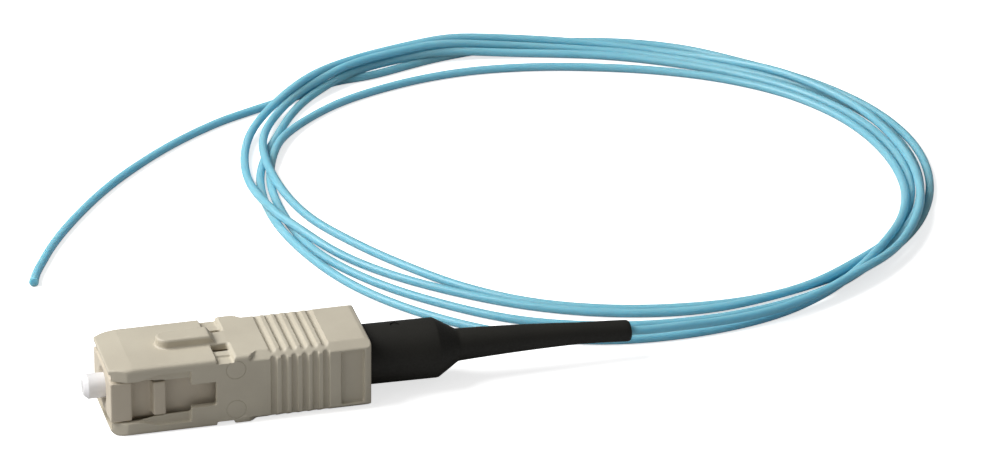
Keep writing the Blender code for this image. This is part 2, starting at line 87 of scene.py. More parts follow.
# The fibre: glass under a tight aqua buffer, extruded 0.9 mm thick. One unbroken length leaves the
# boot, winds nearly five loose turns on the floor, lying over itself, and ends bare where it was cut.
FIBRE_D = 0.9
FIBRE_STEP = 1.1
FIBRE_FLARE = 0.14
FIBRE_FLARE_LENGTH = 1.2
AQUA_DEEP = (0.205, 0.505, 0.64)
AQUA_PALE = (0.26, 0.565, 0.70)
PLUG_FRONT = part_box("grip")[0].x

# Its route where it isn't coiled, the same as in the part: (x from the grip's front face, y, z), in mm
LEAD_ROUTE = (
    (51.8, 0.0, 3.05),
    (54.2, 0.0, 2.85),
    (56.4, 0.1, 2.68),
    (58.6, 0.45, 2.52),
)
TAIL_ROUTE = (
    (39.7, 67.9, 0.45),
    (37.4, 66.7, 0.45),
    (35.0, 65.45, 0.45),
    (32.1, 64.2, 0.45),
    (29.2, 62.95, 0.45),
    (25.3, 61.1, 0.45),
    (19.4, 57.1, 0.45),
    (13.2, 51.5, 0.45),
    (8.8, 46.5, 0.45),
    (4.5, 40.5, 0.45),
    (2.1, 36.5, 0.45),
    (0.7, 33.7, 0.45),
    (-0.6, 30.9, 0.45),
    (-1.2, 29.0, 0.45),
)

# The turns in the order they were wound, each as its distance in mm from the coil's centre at every
# 15 degrees, counter-clockwise from the front. Each lies over those with a lower rank. Two turns have
# the other's rank on the first stretch of each round, as far as SWAPPED_UNTIL degrees.
COIL_CENTRE = (61.5, 38.0)
STATION = 15
COIL_FROM = 270
TURNS = (
    (37.15, 35.7, 35.1, 35.0, 34.4, 33.6, 33.1, 32.8, 32.3, 31.9, 32.0, 32.7,
     33.8, 35.4, 37.2, 38.1, 38.65, 37.45, 35.55, 33.25, 31.2, 30.05, 29.85, 30.2),
    (30.9, 31.9, 32.7, 33.1, 32.9, 32.9, 32.4, 31.9, 31.1, 30.3, 30.1, 30.7,
     31.96, 34.2, 36.0, 36.7, 35.9, 36.0, 35.65, 35.35, 35.55, 35.8, 36.2, 36.2),
    (35.65, 35.1, 34.5, 33.75, 32.8, 32.0, 31.3, 30.6, 29.7, 28.6, 27.75, 27.6,
     28.46, 30.0, 31.7, 33.7, 35.0, 34.95, 34.4, 34.25, 33.5, 32.95, 33.1, 33.05),
    (33.1, 33.4, 33.8, 34.0, 33.9, 33.9, 33.8, 33.4, 32.6, 31.3, 31.1, 31.9,
     33.1, 34.6, 36.2, 37.5, 37.1, 35.0, 32.4, 29.9, 28.65, 28.6, 28.95, 29.3),
    (29.96, 31.1, 32.1, 33.7, 34.55, 34.95, 35.0, 34.6, 33.85, 33.3, 33.95, 34.2,
     34.25, 34.4, 35.3),
)
RANKS = (4, 1, 2, 3, 0)
SWAPPED_RANKS = (4, 1, 3, 2, 0)
SWAPPED_UNTIL = 345
APART = 20.0
SAG = 0.010
SPAN_STEPS = 24
SETTLING_ROUNDS = 8
SETTLING_SWEEPS = 1500
SOFTENING = 3


def linked(name, data, finish=None):
    """A new object in the scene, with its material."""
    obj = bpy.data.objects.new(name, data)
    scene.collection.objects.link(obj)
    if finish:
        data.materials.append(finish)
    return obj


def new_material(name):
    """A new material, with its node tree and its shader."""
    made = bpy.data.materials.new(name)
    made.use_nodes = True
    return made, made.node_tree, made.node_tree.nodes["Principled BSDF"]


def noise(tree, place, scale, detail=2.0):
    """Cloudy values about the object, so many to the metre."""
    cloud = tree.nodes.new("ShaderNodeTexNoise")
    cloud.inputs["Scale"].default_value = scale
    cloud.inputs["Detail"].default_value = detail
    tree.links.new(place, cloud.inputs["Vector"])
    return cloud.outputs["Fac"]


def tinted(tree, value, low, high, start=0.0, end=1.0):
    """The colour low up to the value start, high from the value end on, and a mix between them."""
    ramp = tree.nodes.new("ShaderNodeValToRGB")
    for element, position, color in zip(ramp.color_ramp.elements, (start, end), (low, high)):
        element.position = position
        element.color = (*color, 1.0)
    tree.links.new(value, ramp.inputs["Fac"])
    return ramp.outputs["Color"]


def spread(tree, value, low, high, start=0.0, end=1.0):
    """The value, brought from between start and end to between low and high."""
    span = tree.nodes.new("ShaderNodeMapRange")
    for name, given in (("From Min", start), ("From Max", end), ("To Min", low), ("To Max", high)):
        span.inputs[name].default_value = given
    tree.links.new(value, span.inputs["Value"])
    return span.outputs["Result"]


def bumped(tree, value, shader, strength, depth):
    """A relief on the surface, its depth in mm."""
    bump = tree.nodes.new("ShaderNodeBump")
    bump.inputs["Strength"].default_value = strength
    bump.inputs["Distance"].default_value = depth * MM
    tree.links.new(value, bump.inputs["Height"])
    tree.links.new(bump.outputs["Normal"], shader.inputs["Normal"])


def knots():
    """The route's points in plan, with each one's angle round the coil, counted on from turn to turn."""
    found = [(x, y, COIL_FROM - STATION) for x, y, _ in LEAD_ROUTE]
    for turn, radii in enumerate(TURNS):
        for i, radius in enumerate(radii):
            if turn == 0 and i == 0:
                continue
            angle = COIL_FROM + 360 * turn + STATION * i
            found.append((COIL_CENTRE[0] + radius * math.cos(math.radians(angle)),
                          COIL_CENTRE[1] + radius * math.sin(math.radians(angle)), angle))
    tail_angle = COIL_FROM + 360 * (len(TURNS) - 1) + STATION * len(TURNS[-1])
    return found + [(x, y, tail_angle) for x, y, _ in TAIL_ROUTE]


def smooth_way(points, step):
    """Points a step apart on one smooth curve through the knots, whose spacing may change."""
    points = np.array(points, float)
    points = np.vstack([2 * points[0] - points[1], points, 2 * points[-1] - points[-2]])
    gaps = np.linalg.norm(np.diff(points[:, :2], axis=0), axis=1) ** 0.5
    fine = []
    for i in range(1, len(points) - 2):
        p0, p1, p2, p3 = points[i - 1:i + 3]
        t0 = 0.0
        t1 = t0 + gaps[i - 1]
        t2 = t1 + gaps[i]
        t3 = t2 + gaps[i + 1]
        for t in np.linspace(t1, t2, SPAN_STEPS, endpoint=False):
            a1 = (t1 - t) / (t1 - t0) * p0 + (t - t0) / (t1 - t0) * p1
            a2 = (t2 - t) / (t2 - t1) * p1 + (t - t1) / (t2 - t1) * p2
            a3 = (t3 - t) / (t3 - t2) * p2 + (t - t2) / (t3 - t2) * p3
            b1 = (t2 - t) / (t2 - t0) * a1 + (t - t0) / (t2 - t0) * a2
            b2 = (t3 - t) / (t3 - t1) * a2 + (t - t1) / (t3 - t1) * a3
            fine.append((t2 - t) / (t2 - t1) * b1 + (t - t1) / (t2 - t1) * b2)
    fine.append(points[-2])
    fine = np.array(fine)
    gone = np.concatenate([[0.0], np.cumsum(np.linalg.norm(np.diff(fine[:, :2], axis=0), axis=1))])
    count = round(gone[-1] / step)
    wanted = np.linspace(0.0, gone[-1], count + 1)
    even = np.stack([np.interp(wanted, gone, fine[:, k]) for k in range(fine.shape[1])], axis=1)
    return even, wanted


def softened(values, reach):
    """A running mean, that leaves the two ends alone."""
    weights = np.hanning(2 * reach + 3)[1:-1]
    padded = np.pad(values, reach, mode="edge")
    return np.convolve(padded, weights / weights.sum(), mode="valid")


def settled(plan, angles, gone):
    """Heights of the fibre as it lies on the floor and on each turn that it crosses. Each point sinks
    a little below the middle of its neighbours, but no lower than what it lies on."""
    turn = np.clip((angles - COIL_FROM) // 360, 0, len(TURNS) - 1).astype(int)
    swapped = (angles - COIL_FROM) % 360 < SWAPPED_UNTIL - COIL_FROM
    rank = np.where(swapped, np.array(SWAPPED_RANKS)[turn], np.array(RANKS)[turn])
    away = np.linalg.norm(plan[:, None] - plan[None], axis=2)
    local = angles % 360
    near = (away < FIBRE_D) & (np.abs(gone[:, None] - gone[None]) > APART)
    near &= (np.abs((local[:, None] - local[None] + 180) % 360 - 180) < 90)
    under = near & (rank[:, None] > rank[None])
    lift = np.sqrt(np.maximum(FIBRE_D ** 2 - away ** 2, 0.0))
    lead_gone = np.concatenate([[0.0], np.cumsum([math.dist(a[:2], b[:2])
                                                  for a, b in zip(LEAD_ROUTE, LEAD_ROUTE[1:])])])
    held = gone <= lead_gone[-1]
    lead_z = np.interp(gone, lead_gone, [z for _, _, z in LEAD_ROUTE])
    floor = FIBRE_D / 2
    height = np.where(held, lead_z, floor)
    fall = SAG * (gone[1] - gone[0]) ** 2 / 2
    for _ in range(SETTLING_ROUNDS):
        need = np.where(under, height[None] + lift, floor).max(axis=1)
        height = np.maximum(height, need)
        for _ in range(SETTLING_SWEEPS):
            middle = (height[:-2] + height[2:]) / 2 - fall
            height[1:-1] = np.maximum(middle, need[1:-1])
            height[held] = lead_z[held]
    return softened(height, SOFTENING)


def aqua_buffer():
    """Smooth extruded nylon, a little glossy and translucent, with faint changes of tint along it."""
    made, tree, shader = new_material("aqua_buffer")
    where = tree.nodes.new("ShaderNodeTexCoord").outputs["Object"]
    tint = tinted(tree, noise(tree, where, 90.0, 3.0), AQUA_DEEP, AQUA_PALE, 0.3, 0.7)
    grain = noise(tree, where, 6000.0)
    tree.links.new(tint, shader.inputs["Base Color"])
    tree.links.new(spread(tree, grain, 0.34, 0.46), shader.inputs["Roughness"])
    bumped(tree, grain, shader, 0.25, 0.01)
    shader.inputs["Subsurface Weight"].default_value = 1.0
    shader.inputs["Subsurface Radius"].default_value = (0.7, 1.0, 1.1)
    shader.inputs["Subsurface Scale"].default_value = 1.4 * MM
    return made


def make_fibre():
    way, gone = smooth_way(knots(), FIBRE_STEP)
    swell = FIBRE_FLARE * np.maximum(0.0, 1.0 - (gone[-1] - gone) / FIBRE_FLARE_LENGTH)
    heights = settled(way[:, :2], way[:, 2], gone) + FIBRE_D / 2 * swell
    curve = bpy.data.curves.new("aqua_fibre", "CURVE")
    curve.dimensions = "3D"
    curve.bevel_depth = FIBRE_D / 2 * MM
    curve.bevel_resolution = 6
    curve.use_fill_caps = True
    spline = curve.splines.new("POLY")
    spline.points.add(len(way) - 1)
    route = [Vector((PLUG_FRONT + x * MM, y * MM, z * MM)) for (x, y, _), z in zip(way, heights)]
    for point, place, wider in zip(spline.points, route, swell):
        point.co = (*place, 1.0)
        point.radius = 1.0 + wider
    spline.use_smooth = True
    fibre = linked("aqua_fibre", curve, aqua_buffer())
    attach(fibre, "plug")
    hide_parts("fibre_lead", "fibre_coil", "fibre_tail")


make_fibre()

# The ferrule: a zirconia rod, ground to 2.499 mm and polished to a slightly domed end, with a fine
# bore for the glass. It is the plug's only ceramic piece, pressed into the metal flange behind it.
AXIS_Z = (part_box("ferrule")[0].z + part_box("ferrule")[1].z) / 2 / MM
FERRULE_FRONT = (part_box("ferrule")[0].x - PLUG_FRONT) / MM
FERRULE_BACK = (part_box("ferrule")[1].x - PLUG_FRONT) / MM
FERRULE_R = (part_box("ferrule")[1].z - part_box("ferrule")[0].z) / 2 / MM
FERRULE_END_R = 0.8
FERRULE_CHAMFER = 0.45
FERRULE_DOME = 0.02
FERRULE_EDGE = 0.08
DOME_RINGS = (0.3, 0.55)
GLASS_R = 0.0625
GLASS_FADE = 1.3
ZIRCONIA_LOW = (0.85, 0.84, 0.85)
ZIRCONIA_HIGH = (0.90, 0.885, 0.89)
BORE_DARK = (0.10, 0.10, 0.11)
ROUND_STEPS = 96
SHARP_FROM = 32.0


def along(x):
    """A distance in mm from the grip's front face, as the frame's X in metres."""
    return PLUG_FRONT + x * MM


def faced_out(shape):
    """Turns a closed shape's faces outwards."""
    bmesh.ops.recalc_face_normals(shape, faces=shape.faces)
    if shape.calc_volume(signed=True) < 0:
        bmesh.ops.reverse_faces(shape, faces=shape.faces)


def placed(name, shape):
    """The object that holds a finished shape."""
    mesh = bpy.data.meshes.new(name)
    shape.to_mesh(mesh)
    shape.free()
    return linked(name, mesh)


def smooth_shaded(obj):
    obj.data.shade_smooth()
    obj.data.set_sharp_from_angle(angle=math.radians(SHARP_FROM))


def turned(name, profile, finish=None, hollow=False):
    """A turned solid on the plug's axis, from (x, radius) points; a radius of nothing closes an end."""
    shape = bmesh.new()
    rings = []
    for x, radius in profile:
        if radius == 0:
            rings.append([shape.verts.new((along(x), 0.0, AXIS_Z * MM))])
            continue
        ring = []
        for i in range(ROUND_STEPS):
            angle = 2 * math.pi * i / ROUND_STEPS
            ring.append(shape.verts.new((along(x), radius * MM * math.sin(angle),
                                         (AXIS_Z + radius * math.cos(angle)) * MM)))
        rings.append(ring)
    pairs = list(zip(rings, rings[1:]))
    if hollow:
        pairs.append((rings[-1], rings[0]))
    for a, b in pairs:
        for i in range(ROUND_STEPS):
            j = (i + 1) % ROUND_STEPS
            corners = [a[i % len(a)], a[j % len(a)], b[j % len(b)], b[i % len(b)]]
            shape.faces.new(list(dict.fromkeys(corners)))
    faced_out(shape)
    obj = placed(name, shape)
    smooth_shaded(obj)
    if finish:
        obj.data.materials.append(finish)
    return obj


def eased(before, corner, after, radius, steps=5):
    """Points of an outline that go round a corner instead of through it."""
    corner = np.array(corner, float)
    back = np.array(before, float) - corner
    on = np.array(after, float) - corner
    start = corner + back / np.linalg.norm(back) * radius
    end = corner + on / np.linalg.norm(on) * radius
    return [tuple((1 - t) ** 2 * start + 2 * t * (1 - t) * corner + t * t * end)
            for t in np.linspace(0.0, 1.0, steps)]


def polished_zirconia():
    """White, dense and glossy, with the bore's dark dot at its end."""
    made, tree, shader = new_material("white_ceramic")
    nodes, links = tree.nodes, tree.links
    where = nodes.new("ShaderNodeTexCoord").outputs["Object"]
    across = where
    for operation, by in (("SUBTRACT", (0.0, 0.0, AXIS_Z * MM)), ("MULTIPLY", (0.0, 1.0, 1.0))):
        step = nodes.new("ShaderNodeVectorMath")
        step.operation = operation
        step.inputs[1].default_value = by
        links.new(across, step.inputs[0])
        across = step.outputs["Vector"]
    away = nodes.new("ShaderNodeVectorMath")
    away.operation = "LENGTH"
    links.new(across, away.inputs[0])
    mix = nodes.new("ShaderNodeMix")
    mix.data_type = "RGBA"
    mix.inputs[6].default_value = (*BORE_DARK, 1.0)
    links.new(spread(tree, away.outputs["Value"], 0.0, 1.0, GLASS_R * MM, GLASS_R * GLASS_FADE * MM),
              mix.inputs[0])
    links.new(tinted(tree, noise(tree, where, 700.0), ZIRCONIA_LOW, ZIRCONIA_HIGH), mix.inputs[7])
    links.new(mix.outputs[2], shader.inputs["Base Color"])
    links.new(spread(tree, noise(tree, where, 9000.0), 0.10, 0.20), shader.inputs["Roughness"])
    shader.inputs["IOR"].default_value = 1.8
    return made


def make_ferrule():
    rim = (FERRULE_FRONT, FERRULE_END_R)
    shoulder = (FERRULE_FRONT + FERRULE_CHAMFER, FERRULE_R)
    back = (FERRULE_BACK, FERRULE_R)
    profile = [(FERRULE_FRONT + FERRULE_DOME * (radius / FERRULE_END_R) ** 2, radius)
               for radius in (0.0, GLASS_R, GLASS_R * GLASS_FADE, *DOME_RINGS)]
    profile += eased((FERRULE_FRONT + FERRULE_DOME, 0.0), (rim[0] + FERRULE_DOME, rim[1]), shoulder,
                     FERRULE_EDGE)
    profile += eased(rim, shoulder, back, FERRULE_EDGE)
    profile += eased(shoulder, back, (FERRULE_BACK, 0.0), FERRULE_EDGE)
    profile += [(FERRULE_BACK, 0.0)]
    ferrule = turned("zirconia_ferrule", profile, polished_zirconia())
    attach(ferrule, "ferrule")
    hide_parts("ferrule")


make_ferrule()

# The flange: turned from brass and nickel plated. The ferrule is pressed into it, four notches in its
# collar set the ferrule's angle in the plug frame, and its neck leads the fibre in.
FLANGE_R = 1.8
FLANGE_FROM = 7.65
FLANGE_TO = 9.85
FLANGE_SEAT_R = 1.4
FLANGE_NECK_R = 1.05
FLANGE_NECK_TO = 13.15
FLANGE_HOLE_R = 0.7
FLANGE_EDGE = 0.12
FLANGE_SEAT_TO = FERRULE_BACK + 0.15
NOTCH_W = 0.6
NOTCH_DEPTH = 0.25
NOTCH_LENGTH = 1.2
NICKEL_LOW = (0.56, 0.54, 0.50)
NICKEL_HIGH = (0.68, 0.66, 0.62)
TOOL_MARKS = (14000.0, 300.0, 300.0)


def block(name, x, y, z):
    """A box between two places along each axis, in mm, X counted from the grip's front face."""
    shape = bmesh.new()
    bmesh.ops.create_cube(shape, size=1.0)
    low = Vector((along(x[0]), y[0] * MM, z[0] * MM))
    high = Vector((along(x[1]), y[1] * MM, z[1] * MM))
    for vert in shape.verts:
        vert.co = [low[k] if vert.co[k] < 0 else high[k] for k in range(3)]
    return placed(name, shape)


def changed(obj, operation, *others):
    """Cuts other solids from this one, or joins them to it, and removes them."""
    for other in others:
        step = obj.modifiers.new(operation, "BOOLEAN")
        step.operation = operation
        step.object = other
        step.solver = "EXACT"
    made_plain(obj)
    for other in others:
        bpy.data.objects.remove(other)


def made_plain(obj):
    """Makes an object's modifiers part of its mesh."""
    bpy.context.view_layer.update()
    mesh = bpy.data.meshes.new_from_object(obj.evaluated_get(bpy.context.evaluated_depsgraph_get()))
    obj.modifiers.clear()
    obj.data = mesh
    mesh.name = obj.name
    return mesh


def cut(obj, *others):
    changed(obj, "DIFFERENCE", *others)


def join(obj, *others):
    changed(obj, "UNION", *others)


def plated_metal(name, low, high, roughness):
    """Metal with faint tool marks round its axis and a thin change of tone."""
    made, tree, shader = new_material(name)
    stretch = tree.nodes.new("ShaderNodeMapping")
    stretch.inputs["Scale"].default_value = TOOL_MARKS
    tree.links.new(tree.nodes.new("ShaderNodeTexCoord").outputs["Object"], stretch.inputs["Vector"])
    marks = noise(tree, stretch.outputs["Vector"], 1.0, 4.0)
    tree.links.new(tinted(tree, marks, low, high), shader.inputs["Base Color"])
    tree.links.new(spread(tree, marks, roughness - 0.06, roughness + 0.10), shader.inputs["Roughness"])
    bumped(tree, marks, shader, 0.3, 0.004)
    shader.inputs["Metallic"].default_value = 1.0
    return made


nickel = plated_metal("nickel", NICKEL_LOW, NICKEL_HIGH, 0.28)


def make_flange():
    outline = [(FLANGE_NECK_TO, FLANGE_HOLE_R), (FLANGE_NECK_TO, FLANGE_NECK_R),
               (FLANGE_TO, FLANGE_NECK_R), (FLANGE_TO, FLANGE_R), (FLANGE_FROM, FLANGE_R),
               (FLANGE_FROM, FLANGE_SEAT_R)]
    profile = [outline[0]]
    profile += eased(outline[0], outline[1], outline[2], FLANGE_EDGE, 3)
    profile += [outline[2]]
    profile += eased(outline[2], outline[3], outline[4], FLANGE_EDGE, 3)
    profile += eased(outline[3], outline[4], outline[5], FLANGE_EDGE, 3)
    profile += [outline[5], (FLANGE_SEAT_TO, FLANGE_SEAT_R), (FLANGE_SEAT_TO, FLANGE_HOLE_R)]
    flange = turned("nickel_flange", profile, nickel, hollow=True)
    floor = FLANGE_R - NOTCH_DEPTH
    ways = (((-NOTCH_W / 2, NOTCH_W / 2), (AXIS_Z + floor, AXIS_Z + FLANGE_R + 1)),
            ((-NOTCH_W / 2, NOTCH_W / 2), (AXIS_Z - FLANGE_R - 1, AXIS_Z - floor)),
            ((floor, FLANGE_R + 1), (AXIS_Z - NOTCH_W / 2, AXIS_Z + NOTCH_W / 2)),
            ((-FLANGE_R - 1, -floor), (AXIS_Z - NOTCH_W / 2, AXIS_Z + NOTCH_W / 2)))
    cut(flange, *[block(f"notch_{i}", (FLANGE_FROM - 1, FLANGE_FROM + NOTCH_LENGTH), y, z)
                  for i, (y, z) in enumerate(ways)])
    smooth_shaded(flange)
    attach(flange, "ferrule")
    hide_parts("ferrule_flange")


make_flange()

# The spring: hard drawn steel wire wound round the flange's neck, with closer turns at its two ends.
# It pushes the ferrule forward, and shortens when the ferrule is pushed back.
SPRING_WIRE_D = 0.4
SPRING_FROM = FLANGE_TO + 0.15
SPRING_TO = 15.65
SPRING_R = 1.75
SPRING_TURNS = 7
SPRING_STEPS = 280
SPRING_CLOSING = 0.35
WIRE_SIDES = 12
STEEL_LOW = (0.38, 0.38, 0.39)
STEEL_HIGH = (0.50, 0.50, 0.52)


def spring_tree(finish):
    """A helix whose pitch is smaller at its ends, as a tube of wire."""
    tree = bpy.data.node_groups.new("wound_spring", "GeometryNodeTree")
    face = tree.interface
    for name, value in (("Turns", SPRING_TURNS), ("Coil radius", SPRING_R * MM),
                        ("Wire radius", SPRING_WIRE_D / 2 * MM),
                        ("Length", (SPRING_TO - SPRING_FROM - SPRING_WIRE_D) * MM),
                        ("Closing", SPRING_CLOSING)):
        face.new_socket(name, in_out="INPUT", socket_type="NodeSocketFloat").default_value = value
    face.new_socket("Geometry", in_out="OUTPUT", socket_type="NodeSocketGeometry")
    nodes, links = tree.nodes, tree.links
    given = nodes.new("NodeGroupInput")
    result = nodes.new("NodeGroupOutput")

    def calculated(operation, first, second=None):
        node = nodes.new("ShaderNodeMath")
        node.operation = operation
        for socket, value in zip(node.inputs, (first, second)):
            if isinstance(value, bpy.types.NodeSocket):
                links.new(value, socket)
            elif value is not None:
                socket.default_value = value
        return node.outputs["Value"]

    line = nodes.new("GeometryNodeCurvePrimitiveLine")
    points = nodes.new("GeometryNodeResampleCurve")
    points.inputs["Count"].default_value = SPRING_STEPS + 1
    share = nodes.new("GeometryNodeSplineParameter").outputs["Factor"]
    angle = calculated("MULTIPLY", calculated("MULTIPLY", share, given.outputs["Turns"]), 2 * math.pi)
    swing = calculated("SINE", calculated("MULTIPLY", share, 2 * math.pi))
    eased_share = calculated("SUBTRACT", share, calculated(
        "DIVIDE", calculated("MULTIPLY", swing, given.outputs["Closing"]), 2 * math.pi))
    place = nodes.new("ShaderNodeCombineXYZ")
    links.new(calculated("MULTIPLY", eased_share, given.outputs["Length"]), place.inputs["X"])
    links.new(calculated("MULTIPLY", calculated("SINE", angle), given.outputs["Coil radius"]),
              place.inputs["Y"])
    links.new(calculated("MULTIPLY", calculated("COSINE", angle), given.outputs["Coil radius"]),
              place.inputs["Z"])
    bent = nodes.new("GeometryNodeSetPosition")
    section = nodes.new("GeometryNodeCurvePrimitiveCircle")
    section.inputs["Resolution"].default_value = WIRE_SIDES
    tube = nodes.new("GeometryNodeCurveToMesh")
    tube.inputs["Fill Caps"].default_value = True
    smooth = nodes.new("GeometryNodeSetShadeSmooth")
    real = nodes.new("GeometryNodeRealizeInstances")
    coated = nodes.new("GeometryNodeSetMaterial")
    coated.inputs["Material"].default_value = finish
    links.new(line.outputs["Curve"], points.inputs["Curve"])
    links.new(points.outputs["Curve"], bent.inputs["Geometry"])
    links.new(place.outputs["Vector"], bent.inputs["Position"])
    links.new(bent.outputs["Geometry"], tube.inputs["Curve"])
    links.new(given.outputs["Wire radius"], section.inputs["Radius"])
    links.new(section.outputs["Curve"], tube.inputs["Profile Curve"])
    links.new(tube.outputs["Mesh"], smooth.inputs["Geometry"])
    links.new(smooth.outputs["Geometry"], real.inputs["Geometry"])
    links.new(real.outputs["Geometry"], coated.inputs["Geometry"])
    links.new(coated.outputs["Geometry"], result.inputs["Geometry"])
    return tree


def make_spring():
    steel = plated_metal("spring_steel", STEEL_LOW, STEEL_HIGH, 0.30)
    spring = linked("wound_spring", bpy.data.meshes.new("wound_spring"))
    spring.modifiers.new("winding", "NODES").node_group = spring_tree(steel)
    mesh = made_plain(spring)
    mesh.transform(Matrix.Translation((along(SPRING_FROM + SPRING_WIRE_D / 2), 0.0, AXIS_Z * MM)))
    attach(spring, "plug")
    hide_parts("spring")
    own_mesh(spring)


make_spring()

# The plug frame: the square inner piece, moulded in beige thermoplastic, which holds the ferrule and
# clips into an adapter by the ribs in its sides. It fills the grip's windows, and doesn't move in it.
FRAME_FROM = (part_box("plug_frame")[0].x - PLUG_FRONT) / MM
FRAME_TO = (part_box("plug_frame")[1].x - PLUG_FRONT) / MM
FRAME_HALF_W = 3.25
FRAME_HALF_H = 2.7
FRAME_EDGE = 0.5
PAD_HALF_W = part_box("plug_frame")[1].y / MM
PAD_HALF_H = 2.15
PAD_TO = 2.25
PAD_ROUND = 0.12
RIB_HALF_H = 1.8
RIB_FROM = 4.4
RIB_TO = 5.62
RIB_SLOPE = 0.25
RIB_ROOT = 0.9 * FRAME_HALF_W
FRONT_HOLE_R = 1.55
FRONT_LEAD_IN = 0.35
CHAMBER_R = 2.1
CHAMBER_FROM = 7.35
FRAME_LOW = (0.575, 0.505, 0.40)
FRAME_HIGH = (0.625, 0.555, 0.44)
MOULD_GRID = 0.1
MOULD_PASSES = 3
MOULD_FLAT = 0.6
MOULD_SHARP = 50.0


def prism(name, outline, span, plan=False):
    """A solid between two places along Y, from the (x, z) points of its side view, or one between two
    heights, from the (x, y) points of its plan."""
    shape = bmesh.new()
    ends = []
    for level in span:
        places = [(x, y, level) if plan else (x, level, y) for x, y in outline]
        ends.append([shape.verts.new((along(x), y * MM, z * MM)) for x, y, z in places])
        shape.faces.new(ends[-1])
    for i in range(len(outline)):
        j = (i + 1) % len(outline)
        shape.faces.new((ends[0][i], ends[0][j], ends[1][j], ends[1][i]))
    faced_out(shape)
    return placed(name, shape)


def round_bar(name, x, radius, end_radius=None):
    """A bar on the plug's axis between two places along X, or a cone if its end has another radius."""
    far = radius if end_radius is None else end_radius
    return turned(name, [(x[0], 0.0), (x[0], radius), (x[1], far), (x[1], 0.0)])


def rounded(obj, width, segments):
    """Rounds the sharp edges of a plain solid."""
    edge = obj.modifiers.new("edges", "BEVEL")
    edge.width = width * MM
    edge.segments = segments
    edge.limit_method = "ANGLE"
    made_plain(obj)


def moulded(obj):
    """Eases every edge of a solid, inner ones too, as a mould does: its surface is made again on a fine
    grid and smoothed, and what is flat is joined into large faces."""
    skin = obj.modifiers.new("skin", "REMESH")
    skin.mode = "VOXEL"
    skin.voxel_size = MOULD_GRID * MM
    ease = obj.modifiers.new("ease", "SMOOTH")
    ease.factor = 0.5
    ease.iterations = MOULD_PASSES
    flats = obj.modifiers.new("flats", "DECIMATE")
    flats.decimate_type = "DISSOLVE"
    flats.angle_limit = math.radians(MOULD_FLAT)
    made_plain(obj)


def shaded(obj):
    """Shades flats flat and eased edges round."""
    obj.data.shade_smooth()
    obj.data.set_sharp_from_angle(angle=math.radians(MOULD_SHARP))
    even = obj.modifiers.new("even", "WEIGHTED_NORMAL")
    even.keep_sharp = True
    made_plain(obj)


def coated(obj, finish):
    """Gives an object one material, in place of the slots that its cutters left."""
    obj.data.materials.clear()
    obj.data.materials.append(finish)


def moulded_grain():
    """Shared by the moulded pieces: the fine spark-eroded grain of a mould, and its slow drift."""
    group = bpy.data.node_groups.new("moulded_grain", "ShaderNodeTree")
    face = group.interface
    face.new_socket("Grain per metre", in_out="INPUT", socket_type="NodeSocketFloat").default_value = 5000.0
    face.new_socket("Drift per metre", in_out="INPUT", socket_type="NodeSocketFloat").default_value = 160.0
    face.new_socket("Grain", in_out="OUTPUT", socket_type="NodeSocketFloat")
    face.new_socket("Drift", in_out="OUTPUT", socket_type="NodeSocketFloat")
    nodes, links = group.nodes, group.links
    given = nodes.new("NodeGroupInput")
    result = nodes.new("NodeGroupOutput")
    where = nodes.new("ShaderNodeTexCoord")
    for name, detail in (("Grain", 3.0), ("Drift", 4.0)):
        noise = nodes.new("ShaderNodeTexNoise")
        noise.inputs["Detail"].default_value = detail
        links.new(where.outputs["Object"], noise.inputs["Vector"])
        links.new(given.outputs[name + " per metre"], noise.inputs["Scale"])
        links.new(noise.outputs["Fac"], result.inputs[name])
    return group


GRAIN = moulded_grain()


def moulded_plastic(name, low, high, rough_low, rough_high, grain_depth, grain_scale=5000.0):
    """Satin moulded plastic: a fine grain in its gloss and surface, and a slow drift in its colour."""
    made, tree, shader = new_material(name)
    grain = tree.nodes.new("ShaderNodeGroup")
    grain.node_tree = GRAIN
    grain.inputs["Grain per metre"].default_value = grain_scale
    tint = tinted(tree, grain.outputs["Drift"], low, high, 0.35, 0.65)
    rough = spread(tree, grain.outputs["Grain"], rough_low, rough_high, 0.3, 0.7)
    tree.links.new(tint, shader.inputs["Base Color"])
    tree.links.new(rough, shader.inputs["Roughness"])
    bumped(tree, grain.outputs["Grain"], shader, 0.6, grain_depth)
    return made


def make_frame():
    body = block("moulded_frame", (FRAME_FROM, FRAME_TO), (-FRAME_HALF_W, FRAME_HALF_W),
                 (AXIS_Z - FRAME_HALF_H, AXIS_Z + FRAME_HALF_H))
    rounded(body, FRAME_EDGE, 1)
    pad = block("pad", (FRAME_FROM, PAD_TO), (-PAD_HALF_W, PAD_HALF_W),
                (AXIS_Z - PAD_HALF_H, AXIS_Z + PAD_HALF_H))
    rounded(pad, PAD_ROUND, 3)
    ribs = []
    for side in (-1, 1):
        plan = [(RIB_FROM - RIB_SLOPE, side * RIB_ROOT), (RIB_FROM, side * PAD_HALF_W),
                (RIB_TO, side * PAD_HALF_W), (RIB_TO, side * RIB_ROOT)]
        ribs.append(prism("rib", plan, (AXIS_Z - RIB_HALF_H, AXIS_Z + RIB_HALF_H), plan=True))
    join(body, pad, *ribs)
    cut(body, round_bar("front_hole", (FRAME_FROM - 1, CHAMBER_FROM + 1), FRONT_HOLE_R),
        round_bar("lead_in", (FRAME_FROM - FRONT_LEAD_IN, FRAME_FROM + FRONT_LEAD_IN),
                  FRONT_HOLE_R + 2 * FRONT_LEAD_IN, FRONT_HOLE_R),
        round_bar("chamber", (CHAMBER_FROM, FRAME_TO + 1), CHAMBER_R))
    moulded(body)
    shaded(body)
    coated(body, moulded_plastic("frame_plastic", FRAME_LOW, FRAME_HIGH, 0.42, 0.58, 0.006))
    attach(body, "plug")
    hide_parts("plug_frame")


make_frame()

